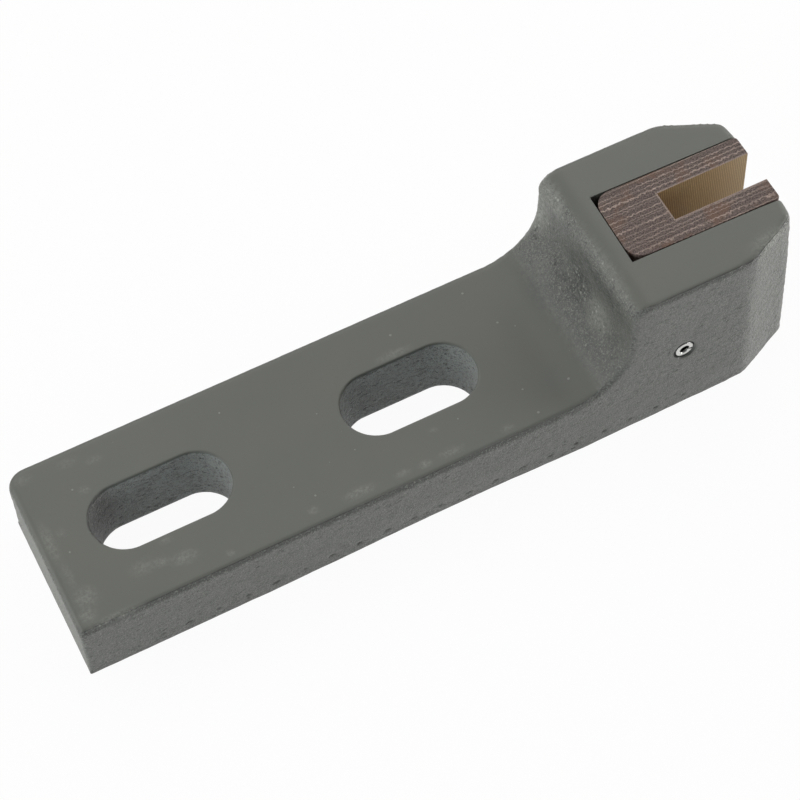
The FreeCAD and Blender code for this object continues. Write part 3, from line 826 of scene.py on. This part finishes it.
class InsertSettings(bpy.types.PropertyGroup):
    """Sizes and colours of the laminate insert"""
    ply_pitch: bpy.props.FloatProperty(
        name="Ply pitch", description="Distance from one ply to the next", default=1.35 * MM,
        min=0.2 * MM, max=5 * MM, **LENGTH)
    thread_wave: bpy.props.FloatProperty(
        name="Thread wave", description="Length of one wave of the cut threads", default=1.5 * MM,
        min=0.2 * MM, max=5 * MM, **LENGTH)
    rib_pitch: bpy.props.FloatProperty(
        name="Rib pitch", description="Distance between the ribs on the channel's walls",
        default=0.55 * MM, min=0.1 * MM, max=3 * MM, **LENGTH)
    resin_dark: bpy.props.FloatVectorProperty(
        name="Dark resin", description="Resin between the plies", default=linear("40332f"), **COLOUR)
    filling_colour: bpy.props.FloatVectorProperty(
        name="Filling threads", description="Cloth soaked with resin, between the lines",
        default=linear("75645e"), **COLOUR)
    resin_warm: bpy.props.FloatVectorProperty(
        name="Warm resin", description="Resin in the warmer patches", default=linear("6e4f3c"),
        **COLOUR)
    thread_colour: bpy.props.FloatVectorProperty(
        name="Cut threads", description="Cotton threads cut across", default=linear("b4a095"),
        **COLOUR)
    face_dark: bpy.props.FloatVectorProperty(
        name="Dark face", description="Channel wall between the ribs", default=linear("77603f"),
        **COLOUR)
    face_pale: bpy.props.FloatVectorProperty(
        name="Pale face", description="Channel wall on the ribs", default=linear("b79c72"), **COLOUR)


class PinSettings(bpy.types.PropertyGroup):
    """Sizes and colours of the spring pin"""
    slit_angle: bpy.props.FloatProperty(
        name="Slit angle", description="How far the slit is turned up from the head's front",
        default=math.radians(-15), subtype="ANGLE")
    end_bevel: bpy.props.FloatProperty(
        name="End bevel", description="Chamfer of the pin's ends", default=0.25 * MM,
        min=0.0, max=0.5 * MM, **LENGTH)
    steel_colour: bpy.props.FloatVectorProperty(
        name="Steel", description="Bright rolled steel", default=linear("cfcfcc"), **COLOUR)
    # Painted shade deep in the pin's bore
    bore_shade_colour: bpy.props.FloatVectorProperty(
        name="Bore shade", description="Painted shade deep in the bore", default=linear("0c0b0a"), **COLOUR)


class StageSettings(bpy.types.PropertyGroup):
    """Floor, light and camera"""
    floor_colour: bpy.props.FloatVectorProperty(
        name="Floor", description="Paper under the shoe", default=linear("f4f4f4"), **COLOUR)
    floor_whiteness: bpy.props.FloatProperty(
        name="Floor whiteness", description="Share of plain white that the camera sees",
        default=0.95, min=0.0, max=1.0, subtype="FACTOR")
    world_strength: bpy.props.FloatProperty(
        name="Surround", description="Strength of the light from all round", default=0.10,
        min=0.0, max=2.0)
    lamp_level: bpy.props.FloatProperty(
        name="Softboxes", description="Scales the power of every softbox", default=1.0,
        min=0.0, max=10.0, subtype="FACTOR")


# Rubbed and dusty places on the bar's top, in millimetres: centre, half-sizes, and how dusty
TOP_SCUFFS = (
    (-96.3, 1.5, 1.8, 7.0, 0.7),
    (-92.7, 2.9, 1.5, 1.5, 0.4),
    (-95.6, -9.0, 1.3, 5.0, 0.5),
    (-94.2, -16.2, 3.5, 3.5, 0.8),
    (-95.6, -20.8, 2.6, 2.6, 0.8),
    (-95.5, 21.2, 2.6, 1.8, 0.5),
    (-83.0, 11.4, 1.4, 1.1, 0.9),
    (-83.9, 20.6, 3.2, 1.6, 0.4),
    (-77.6, 18.2, 2.4, 1.3, 0.6),
    (-78.7, -15.2, 4.0, 2.4, 0.6),
    (-74.4, -15.9, 2.6, 1.6, 0.8),
    (-70.8, -10.9, 2.2, 1.0, 0.6),
    (-68.7, -17.4, 4.0, 2.2, 0.8),
    (-58.4, -21.5, 1.2, 0.9, 0.9),
    (1.7, 11.1, 5.5, 1.3, 0.9),
    (-35.7, -20.3, 1.6, 1.2, 0.8),
    (-23.4, -20.9, 4.8, 1.6, 0.9),
    (-11.8, -21.1, 2.6, 1.0, 0.8),
    (-5.6, -21.5, 2.0, 1.2, 1.0),
    (1.5, -21.2, 4.0, 1.2, 0.8),
    (17.0, -21.9, 2.0, 1.2, 0.7),
    (0.4, -13.6, 1.5, 0.8, 0.6),
)

# Rubbed and dusty places elsewhere, and patches of painted highlight and painted reflection, with all
# three coordinates of the centre and of the half-sizes
SCUFFS_AND_HIGHLIGHTS = [((x, y, BAR_TOP), (half_x, half_y, 2.0), dusty)
          for x, y, half_x, half_y, dusty in TOP_SCUFFS] + [
    ((-90.0, -24.2, 19.4), (8.5, 1.3, 1.5), 1.0),
    ((48.8, -9.5, 31.5), (5.0, 6.0, 5.5), 1.0),
    ((49.2, 5.5, 32.5), (4.0, 7.0, 4.0), 0.3),
    ((45.5, 13.4, 25.4), (3.5, 4.0, 3.0), 0.5),
    # These two make the far end of the head's back lighter
    ((51.0, 18.5, 46.0), (3.5, 8.0, 4.0), 1.3),
    ((49.5, 23.0, 38.0), (4.5, 6.5, 9.0), 1.8),
    ((52.0, -8.0, 48.4), (2.5, 16.0, 2.2), 0.6),
    ((48.5, -20.0, 30.5), (4.0, 5.0, 7.0), 0.35),
    # Painted reflection: the whole end face is made lighter
    ((-100.0, 0.0, 9.0), (2.0, 34.0, 14.0), 1.0),
    ((92.0, -21.3, 49.0), (9.0, 4.0, 2.0), 1.5),
]

# Patches of painted shade, with some rubbed-in dirt, given in the same way: under the brow, in the
# throat, in the slots' closed ends, and along the foot's edge at the end
SHADE_AND_GRIME = (
    ((50.0, -9.0, 41.8), (5.0, 17.0, 5.2), 1.0),
    ((47.5, -19.5, 33.0), (4.0, 4.0, 8.0), 0.4),
    ((47.5, 4.0, 30.0), (5.0, 14.0, 9.0), 0.95),
    ((43.0, 9.0, 24.5), (5.0, 17.0, 5.0), 0.4),
    ((48.8, 1.5, 32.5), (3.5, 8.0, 7.5), 1.35),
    ((49.5, 1.0, 36.5), (5.0, 9.0, 6.5), 1.0),
    ((48.5, -19.0, 30.0), (4.5, 5.5, 7.5), 0.85),
    ((45.0, 0.0, 25.0), (6.0, 36.0, 5.5), 0.55),
    ((-84.0, 2.0, 12.0), (9.0, 13.0, 18.0), 2.2),
    ((-18.5, 0.0, 12.0), (5.0, 9.0, 14.0), 0.5),
    ((-97.3, -24.6, 19.0), (1.4, 1.2, 2.0), 1.0),
    ((-90.5, -24.9, 19.0), (1.6, 0.9, 2.0), 0.9),
    ((-86.5, -24.8, 19.0), (1.6, 0.9, 2.0), 0.9),
)


def casting_weights(places, normals):
    """How rough the sand left each vertex, how much painted shade lies on the top rim's round there, and
    how much the vertex belongs to the foot's long edges."""
    x, y, z = places.T
    upward = normals[:, 2]
    on_throat = smooth_step(30.0, 36.0, x) * smooth_step(61.0, 57.0, x)
    steep = smooth_step(0.78, 0.45, upward)
    steep = np.maximum(steep, on_throat * smooth_step(0.93, 0.62, upward))
    steep = steep * smooth_step(-0.9, -0.5, upward)
    in_pocket = (x > POCKET_BACK - 0.3) & (np.abs(y) < POCKET_HALF_WIDTH + 0.3)
    from_pin = np.hypot(x - PIN_X, z - PIN_Z)
    sand = steep * ~in_pocket * smooth_step(3.0, 4.2, from_pin)
    # The slots' top rims stay crisp
    in_slot = (np.abs(y) < SLOT_RADIUS + 1) & (x < HEAD_BACK - 15) & (np.abs(x) < 95)
    sand = sand * np.where(in_slot, smooth_step(BAR_TOP - 0.4, BAR_TOP - 0.9, z), 1)
    # Painted shade on the round of the top rims, along the bar and along the head
    on_rim = smooth_step(0.02, 0.35, upward) * smooth_step(0.93, 0.72, upward)
    on_rim *= smooth_step(3.5, 2.0, side_inset(x, y, z)) * smooth_step(91.0, 84.0, x)
    thin = on_rim * (smooth_step(34.0, 28.0, x) + smooth_step(54.0, 60.0, x)) * (z > 10)
    foot_edge = smooth_step(8.0, 0.5, z) * smooth_step(5.5, 1.0, side_inset(x, y, z))
    return sand, thin, foot_edge


def lump_share(x, z):
    """How high the lumps stand: they fade out towards the top rims and the foot, which stay straight."""
    below_top = np.where(x < 34, BAR_TOP - z, np.where(x > 54, HEAD_TOP - z, 10.0))
    return (0.35 + 0.65 * smooth_step(1.0, 4.5, below_top)) * (0.3 + 0.7 * smooth_step(0.0, 3.0, z))


def patch_weights(places, patches):
    """How much each vertex belongs to a set of soft-edged patches."""
    total = np.zeros(len(places))
    for centre, half, amount in patches:
        distance = np.linalg.norm((places - np.array(centre)) / np.array(half), axis=1)
        total = np.maximum(total, amount * smooth_step(1.25, 0.2, distance))
    return total


def skin_values(places, sand, thin, marks):
    """What the material reads at each vertex. Slot walls are rougher and get the painted cool light, but
    not where the painted shade and grime cover them, and that shade and grime in the slots stays on
    their walls."""
    x, y, z = places.T
    from_slot = slot_distance(x, y)
    grime = patch_weights(places, SHADE_AND_GRIME)
    in_slot = (from_slot < 0.3) & (z < BAR_TOP)
    round_slots = (x < HEAD_BACK - 15) & (np.abs(y) < SLOT_RADIUS + 8)
    below_rim = (from_slot < 0.2) * smooth_step(BAR_TOP - 0.3, BAR_TOP - 0.8, z)
    return {
        "sand": sand * np.where(in_slot, 1.5, 1.0),
        "scuff": patch_weights(places, SCUFFS_AND_HIGHLIGHTS),
        "grime": grime * np.where(round_slots, 1 - smooth_step(0.1, 0.7, from_slot), 1),
        "mark": marks,
        "thin": thin,
        "slot": below_rim * (1 - 0.8 * np.minimum(grime, 1)),
    }


class SHOE_OT_casting(bpy.types.Operator):
    """Model the sand-cast body from its solid: even faces, the sand's relief, and paint"""
    bl_idname = "guide_shoe.casting"
    bl_label = "Casting"

    def execute(self, context):
        settings = context.scene.guide_shoe_casting
        node = frame["nodes"]["shoe_body"]
        casting = bpy.data.objects.new("casting", node.data.copy())
        context.scene.collection.objects.link(casting)
        casting.data.materials.clear()
        edit_mesh(casting, "VERT")
        on_whole_mesh(bpy.ops.mesh.remove_doubles, threshold=SAME_PLACE)
        bpy.ops.object.mode_set(mode="OBJECT")
        solid = bpy.data.objects.new("solid", casting.data.copy())
        context.scene.collection.objects.link(solid)
        apply_sharp_remesh(casting, CASTING_REMESH_DEPTH)
        refine_sharp_turns(casting, 11, lambda x, y, z: z > 12)
        apply_shrinkwrap(casting, solid)
        refine_sharp_turns(casting, 15, lambda x, y, z: near_slot_rim(x, y, z) | near_pin(x, y, z))
        apply_shrinkwrap(casting, solid)
        bpy.data.objects.remove(solid)
        true_slot_ends(casting)
        split_faces_round(casting, foot_marks(*edge_middles(casting.data)) > 0)
        merge_flat_faces(casting)
        fill_head(casting)
        tighten_rims(casting)
        sharpen_foot(casting)
        round_nose_corners(casting)
        turn_pocket(casting, lambda x, y: 1.0)

        # The foot's edges wander and drift inwards, the sand leaves lumps, and a tool left its marks
        places, normals = vertex_places(casting.data)
        x, y, z = places.T
        sand, thin, foot_edge = casting_weights(places, normals)
        mould_edge = clouds("mould_edge", 6 * MM, 2)
        along, drift = np.array(FOOT_EDGE_DRIFT).T
        drift_here = np.interp(x, along, drift) / drift.max()
        for side in (-1, 1):
            edge = foot_edge * (y * side > 0)
            displace(casting, "wander", edge, mould_edge, side * settings.foot_waviness, 0.6, "Y")
            displace(casting, "drift", edge * drift_here, None, -side * drift.max() * MM,
                     direction="Y")
        displace(casting, "lumps", sand * lump_share(x, z),
                 clouds("sand_lumps", settings.relief_size, 2), settings.relief_depth, 0.65)
        marks = foot_marks(x, y, z)
        displace(casting, "marks", marks, None, -MARK_DEPTH * MM)
        keep_in_box(casting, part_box("shoe_body"))
        for name, values in skin_values(places, sand, thin, marks).items():
            set_attribute(casting.data, name, values)
        select_only(casting)
        bpy.ops.object.shade_smooth_by_angle(angle=SMOOTH_ANGLE)

        casting.data.materials.append(painted_casting_material(settings))
        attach(casting, BODY)
        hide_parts("shoe_body")
        return {"FINISHED"}


class SHOE_OT_insert(bpy.types.Operator):
    """Model the laminate insert: a plan cut to a U, raised, and its corners rounded"""
    bl_idname = "guide_shoe.insert"
    bl_label = "Insert"

    def execute(self, context):
        settings = context.scene.guide_shoe_insert
        low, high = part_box("guide_insert")
        middle = (low + high) / 2
        size = high - low
        bpy.ops.object.select_all(action="DESELECT")
        bpy.ops.mesh.primitive_plane_add(size=1, location=(middle.x, middle.y, low.z))
        insert = context.active_object
        insert.name = "laminate_insert"
        insert.data.name = "laminate_insert"
        insert.scale = (size.x, size.y - 2 * INSERT_PLAY * MM, 1)
        set_origin(insert)

        bpy.ops.object.mode_set(mode="EDIT")
        cuts = (((CHANNEL_BACK * MM, 0, 0), (1, 0, 0)),
                ((0, CHANNEL_HALF_WIDTH * MM, 0), (0, 1, 0)),
                ((0, -CHANNEL_HALF_WIDTH * MM, 0), (0, 1, 0)))
        for point, normal in cuts:
            on_whole_mesh(bpy.ops.mesh.bisect, plane_co=point, plane_no=normal)
        select_faces(insert, lambda c: c.x > CHANNEL_BACK and abs(c.y) < CHANNEL_HALF_WIDTH)
        bpy.ops.mesh.delete(type="FACE")
        rise = {"value": (0, 0, size.z)}
        on_whole_mesh(bpy.ops.mesh.extrude_region_move, TRANSFORM_OT_translate=rise)
        on_whole_mesh(bpy.ops.mesh.dissolve_limited, angle_limit=math.radians(1))
        on_whole_mesh(bpy.ops.mesh.normals_make_consistent, inside=False)
        side = high.y / MM - INSERT_PLAY
        self.round_corners(insert, low.x / MM, side, INSERT_BACK_RADIUS, 8)
        self.round_corners(insert, high.x / MM, side, INSERT_FRONT_RADIUS, 3)

        apply_sharp_remesh(insert, INSERT_REMESH_DEPTH)
        keep_in_box(insert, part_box("guide_insert"))
        turn_pocket(insert, off_channel)
        select_only(insert)
        bpy.ops.object.shade_smooth_by_angle(angle=SMOOTH_ANGLE)

        insert.data.materials.append(laminate_edge_material(settings))
        insert.data.materials.append(laminate_face_material(settings))
        for face in insert.data.polygons:
            across = abs(face.center.y) / MM
            if abs(face.normal.y) > 0.7 and across < CHANNEL_HALF_WIDTH + 0.5:
                face.material_index = 1
        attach(insert, BODY)
        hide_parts("guide_insert")
        return {"FINISHED"}

    def round_corners(self, insert, end, side, radius, segments):
        """Round the two upright outer edges at one end of the block."""
        def upright_at_end(a, b):
            at_corner = all(abs(p.x - end) < 0.01 and abs(abs(p.y) - side) < 0.01 for p in (a, b))
            return at_corner and abs(a.z - b.z) > 1
        select_edges(insert, upright_at_end)
        bpy.ops.mesh.bevel(offset=radius * MM, offset_type="OFFSET", segments=segments, profile=0.5)
        bpy.ops.object.mode_set(mode="OBJECT")


class SHOE_OT_pin(bpy.types.Operator):
    """Model the slotted spring pin: a split ring drawn out to a tube, its ends chamfered"""
    bl_idname = "guide_shoe.pin"
    bl_label = "Spring pin"

    def execute(self, context):
        settings = context.scene.guide_shoe_pin
        low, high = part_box("spring_pin")
        centre = Vector(((low.x + high.x) / 2, low.y, (low.z + high.z) / 2))
        outer = (high.z - low.z) / 2
        inner = outer - PIN_WALL * MM
        bpy.ops.object.select_all(action="DESELECT")
        bpy.ops.mesh.primitive_circle_add(vertices=PIN_FACETS, radius=inner, fill_type="NOTHING",
                                          location=centre, rotation=(math.radians(90), 0, 0))
        pin = context.active_object
        pin.name = "slotted_pin"
        pin.data.name = "slotted_pin"
        set_origin(pin)
        bpy.ops.object.mode_set(mode="EDIT")
        on_whole_mesh(bpy.ops.mesh.extrude_edges_move)
        grow = outer / inner
        bpy.ops.transform.resize(value=(grow, 1, grow), center_override=centre)

        # Two cuts beside the line that the slit points along, and the ring between them goes
        away = Vector((math.cos(settings.slit_angle), 0, math.sin(settings.slit_angle)))
        across = Vector((-away.z, 0, away.x))
        for side in (-1, 1):
            point = centre + across * side * PIN_SLIT / 2 * MM
            on_whole_mesh(bpy.ops.mesh.bisect, plane_co=point, plane_no=across)
        middle = centre / MM
        select_faces(pin, lambda c: (c - middle).dot(away) > 0
                     and abs((c - middle).dot(across)) < PIN_SLIT / 2)
        bpy.ops.mesh.delete(type="FACE")
        length = {"value": (0, high.y - low.y, 0)}
        on_whole_mesh(bpy.ops.mesh.extrude_region_move, TRANSFORM_OT_translate=length)
        on_whole_mesh(bpy.ops.mesh.remove_doubles, threshold=SAME_PLACE)
        bpy.ops.mesh.normals_make_consistent(inside=False)
        select_edges(pin, lambda a, b: abs(a.y - b.y) < 0.01 and
                     abs((a - middle).xz.length - (b - middle).xz.length) < 0.2)
        bpy.ops.mesh.bevel(offset=settings.end_bevel, offset_type="OFFSET", segments=3, profile=0.5)
        bpy.ops.object.mode_set(mode="OBJECT")
        select_only(pin)
        bpy.ops.object.shade_smooth_by_angle(angle=math.radians(35))

        pin.data.materials.append(spring_steel_material(settings))
        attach(pin, BODY)
        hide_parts("spring_pin")
        return {"FINISHED"}


# Softboxes: name, power in watts, place and side lengths in metres, colour. All point at the shoe. The
# wide one behind gives the tops their even sheen, and the front stays dim, which draws the dark rims.
SOFTBOX_TARGET = (0.0, 0.0, 0.02)
SOFTBOXES = (
    ("softbox_back_wide", 4.95, (0.15, 0.85, 0.75), (1.6, 1.0), "fffffd"),
    ("softbox_back_high", 1.21, (0.15, 0.75, 0.85), (1.1, 0.7), "fffff6"),
    ("softbox_left", 3.9, (-0.95, 0.15, 0.45), (0.6, 0.6), "ffffff"),
    ("softbox_left_back", 0.65, (-0.7, 0.65, 0.5), (0.6, 0.6), "ffffff"),
    ("softbox_left_high", 0.54, (-0.8, -0.1, 0.8), (0.7, 0.7), "f6fdff"),
    ("softbox_left_front", 1.71, (-0.75, -0.55, 0.45), (0.5, 0.5), "f0fcff"),
    ("softbox_right", 1.03, (0.95, 0.0, 0.55), (0.6, 0.6), "ffffff"),
    ("softbox_right_back", 1.27, (0.8, 0.6, 0.5), (0.6, 0.6), "ffffff"),
    ("softbox_right_low", 7.85, (0.95, -0.2, 0.15), (0.6, 0.3), "ffffff"),
    ("softbox_top", 0.94, (0.0, 0.1, 1.1), (0.9, 0.9), "fbfdff"),
)

# The photograph's view, found by fitting one camera to the casting's edges
CAMERA_PLACE = (-0.128156, -0.301560, 0.538997)
CAMERA_TURN = (31.9493721, 2.4527847, -26.6167990)
CAMERA_LENS = 110.3314
CAMERA_SENSOR = 36.0


class SHOE_OT_stage(bpy.types.Operator):
    """Lay the paper floor, hang the softboxes and set up the camera"""
    bl_idname = "guide_shoe.stage"
    bl_label = "Stage"

    def execute(self, context):
        settings = context.scene.guide_shoe_stage
        bpy.ops.object.select_all(action="DESELECT")
        bpy.ops.mesh.primitive_plane_add(size=6.0, location=(0, 0, 0))
        floor = context.active_object
        floor.name = "paper_floor"
        floor.data.materials.append(floor_material(settings))
        self.light_world(context, settings)
        for name, power, place, sides, colour in SOFTBOXES:
            bpy.ops.object.light_add(type="AREA", location=place)
            lamp = context.active_object
            lamp.name = name
            lamp.data.shape = "RECTANGLE"
            lamp.data.size = sides[0]
            lamp.data.size_y = sides[1]
            lamp.data.energy = power * settings.lamp_level
            lamp.data.color = linear(colour)
            aim = Vector(SOFTBOX_TARGET) - Vector(place)
            lamp.rotation_euler = aim.to_track_quat("-Z", "Y").to_euler()
        bpy.ops.object.camera_add(location=CAMERA_PLACE,
                                  rotation=[math.radians(a) for a in CAMERA_TURN])
        camera = context.active_object
        camera.name = "photo_camera"
        camera.data.lens = CAMERA_LENS
        camera.data.sensor_width = CAMERA_SENSOR
        camera.data.sensor_fit = "HORIZONTAL"
        camera.data.clip_start = 0.01
        context.scene.camera = camera
        context.scene.view_settings.view_transform = "Standard"
        return {"FINISHED"}

    def light_world(self, context, settings):
        """A plain surround that the camera sees as white."""
        world = bpy.data.worlds.new("studio")
        context.scene.world = world
        add = empty_nodes(world)
        rays = add("LightPath", {}).outputs
        seen = add("Math", {"operation": "MAXIMUM", 0: rays["Is Camera Ray"],
                            1: rays["Is Transmission Ray"]})
        strength = add("MapRange", {"Value": seen, "To Min": settings.world_strength})
        light = add("Background", {"Color": (1.0, 1.0, 1.0, 1.0), "Strength": strength})
        add("OutputWorld", {"Surface": light})


# Where each step's settings are kept in the scene, in the order that the steps run
STEPS = (
    ("guide_shoe_casting", CastingSettings, SHOE_OT_casting),
    ("guide_shoe_insert", InsertSettings, SHOE_OT_insert),
    ("guide_shoe_pin", PinSettings, SHOE_OT_pin),
    ("guide_shoe_stage", StageSettings, SHOE_OT_stage),
)


class SHOE_PT_panel(bpy.types.Panel):
    """Lists the pieces and their settings"""
    bl_label = "Guide Shoe"
    bl_idname = "SHOE_PT_panel"
    bl_space_type = "VIEW_3D"
    bl_region_type = "UI"
    bl_category = "Guide Shoe"

    def draw(self, context):
        for name, group, operator in STEPS:
            box = self.layout.box()
            box.operator(operator.bl_idname)
            for setting in group.__annotations__:
                box.prop(getattr(context.scene, name), setting)


def register():
    for name, group, operator in STEPS:
        bpy.utils.register_class(group)
        bpy.utils.register_class(operator)
        setattr(bpy.types.Scene, name, bpy.props.PointerProperty(type=group))
    bpy.utils.register_class(SHOE_PT_panel)


def unregister():
    bpy.utils.unregister_class(SHOE_PT_panel)
    for name, group, operator in reversed(STEPS):
        delattr(bpy.types.Scene, name)
        bpy.utils.unregister_class(operator)
        bpy.utils.unregister_class(group)


def main():
    register()
    bpy.ops.guide_shoe.casting()
    bpy.ops.guide_shoe.insert()
    bpy.ops.guide_shoe.pin()
    bpy.ops.guide_shoe.stage()
    bpy.context.view_layer.update()


if __name__ == "__main__":
    main()
